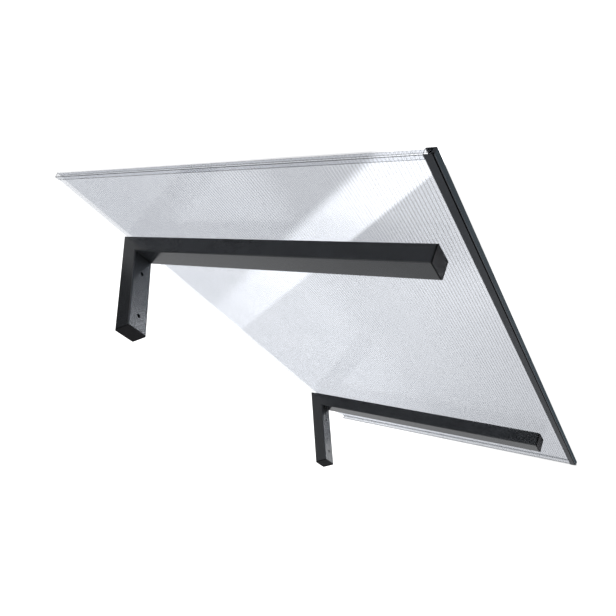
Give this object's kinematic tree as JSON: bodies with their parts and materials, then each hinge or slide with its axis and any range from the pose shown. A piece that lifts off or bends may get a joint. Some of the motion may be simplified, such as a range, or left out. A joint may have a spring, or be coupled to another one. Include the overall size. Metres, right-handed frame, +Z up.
{
  "type": "door canopy",
  "caption": "Sloping door canopy: clear multiwall roof sheet with clear side profiles and a dark front channel, on L-shaped tube brackets screwed to the wall.",
  "frame": {"origin": "on the wall plane, midway between the brackets, at the height where the arms' top faces meet the wall", "axes": "+X along the wall, +Y into the wall, +Z up; the roof falls towards -Y"},
  "size_m": [1.5, 0.8079, 0.4051],
  "materials": {
    "coated_tube": "anthracite fine-texture powder coat",
    "front_aluminium": "anthracite coated, satin",
    "clear_sheet": "clear multiwall polycarbonate with fine ribs",
    "clear_edge": "clear polycarbonate extrusion",
    "cap_plastic": "black, moulded",
    "foam_tape": "matt black closed-cell foam"
  },
  "bodies": {
    "root": {"bracket_left": "coated_tube", "bracket_right": "coated_tube", "leg_end_cap_left": "cap_plastic", "leg_end_cap_right": "cap_plastic", "arm_end_cap_left": "cap_plastic", "arm_end_cap_right": "cap_plastic", "roof_sheet": "clear_sheet", "side_profile_left": "clear_edge", "side_profile_right": "clear_edge", "front_channel": "front_aluminium", "bonding_tape_left": "foam_tape", "bonding_tape_right": "foam_tape"}
  },
  "joints": []
}
